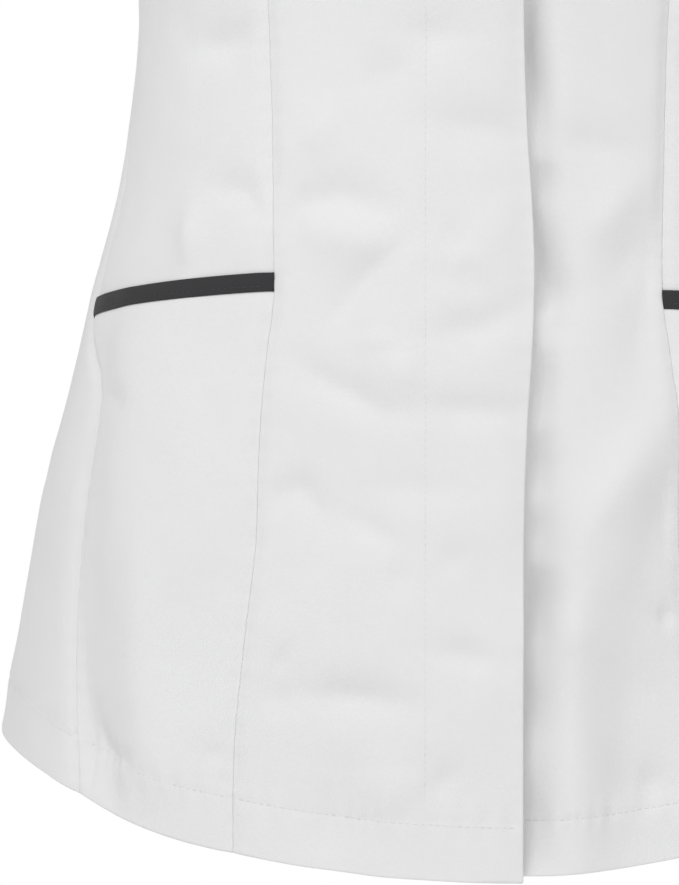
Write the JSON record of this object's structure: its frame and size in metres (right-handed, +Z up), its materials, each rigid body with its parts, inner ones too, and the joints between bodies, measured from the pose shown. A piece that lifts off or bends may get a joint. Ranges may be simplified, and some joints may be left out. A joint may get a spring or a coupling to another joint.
{
  "type": "scrub tunic",
  "caption": "White front-fastening scrub tunic with short sleeves, a round neck, princess seams and low curved-hem side pockets bound in charcoal, hollow as worn.",
  "frame": {"origin": "midway between the two side neck points, where the wearer's shoulders carry the tunic", "axes": "+X to the wearer's left, -Y to the front, +Z up"},
  "size_m": [0.5941, 0.2782, 0.746],
  "materials": {
    "cloth_white": "matte woven polyester and cotton",
    "trim_charcoal": "matte woven binding",
    "stud_white": "satin"
  },
  "bodies": {
    "root": {"front_centre_right": "cloth_white", "front_centre_left": "cloth_white", "front_side_right": "cloth_white", "front_side_left": "cloth_white", "back": "cloth_white", "sleeve_right": "cloth_white", "sleeve_left": "cloth_white", "pocket_right": "cloth_white", "pocket_left": "cloth_white", "neck_binding": "cloth_white", "pocket_binding_right": "trim_charcoal", "pocket_binding_left": "trim_charcoal", "press_stud_1": "stud_white", "press_stud_2": "stud_white", "press_stud_3": "stud_white", "press_stud_4": "stud_white", "press_stud_5": "stud_white", "press_stud_6": "stud_white"}
  },
  "joints": []
}
